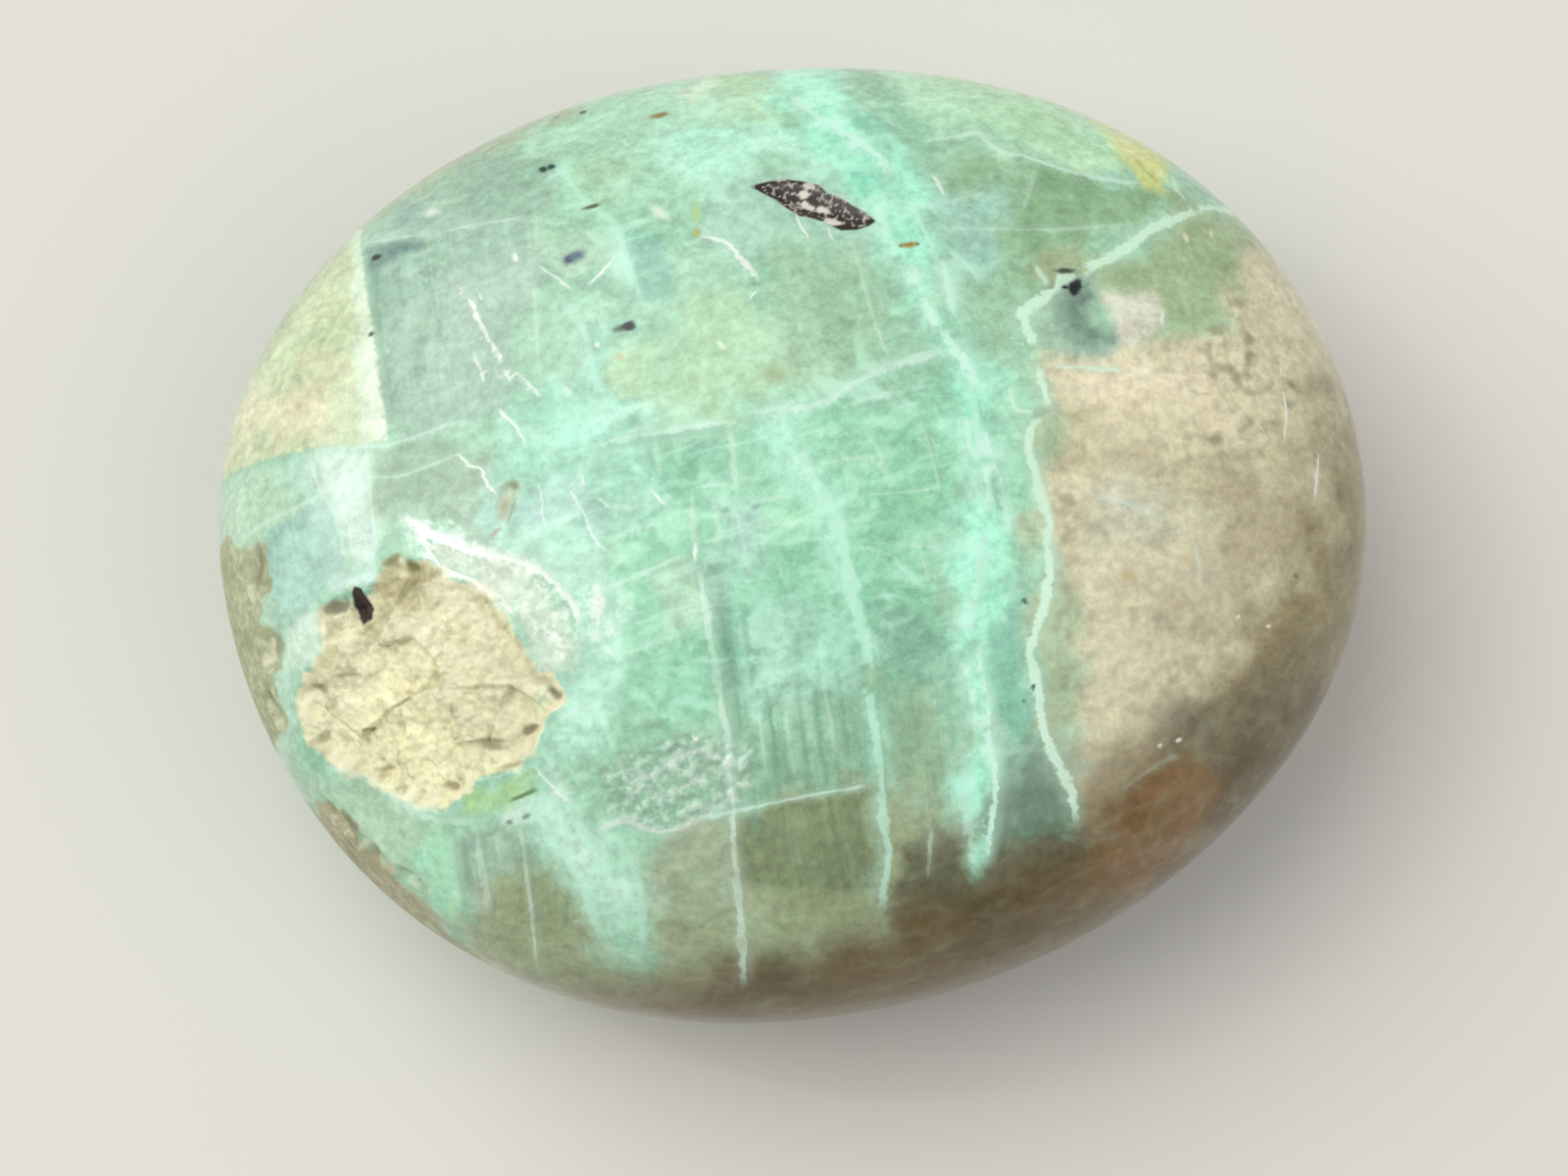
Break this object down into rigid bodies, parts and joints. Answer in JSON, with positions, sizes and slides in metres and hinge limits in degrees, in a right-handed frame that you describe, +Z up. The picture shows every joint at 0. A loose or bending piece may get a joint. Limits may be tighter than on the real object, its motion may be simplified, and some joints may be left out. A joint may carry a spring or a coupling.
{
  "type": "polished palm stone",
  "caption": "Oval pillow-shaped polished stone of mint-green garnierite with moonstone, white veins and a shallow pocket of broken tan grains; lies on a small flat.",
  "frame": {"origin": "middle of the bounding box, on the flat that the stone rests on", "axes": "+Z up out of the veined face, +X along the stone's longest side, towards its tan end"},
  "size_m": [0.054, 0.0456, 0.0214],
  "materials": {
    "polished_garnierite": "tumble-polished mint-green stone with white veins, tan and olive patches and dark grains; a shallow pocket is left unpolished"
  },
  "bodies": {
    "root": {"palm_stone": "polished_garnierite"}
  },
  "joints": []
}
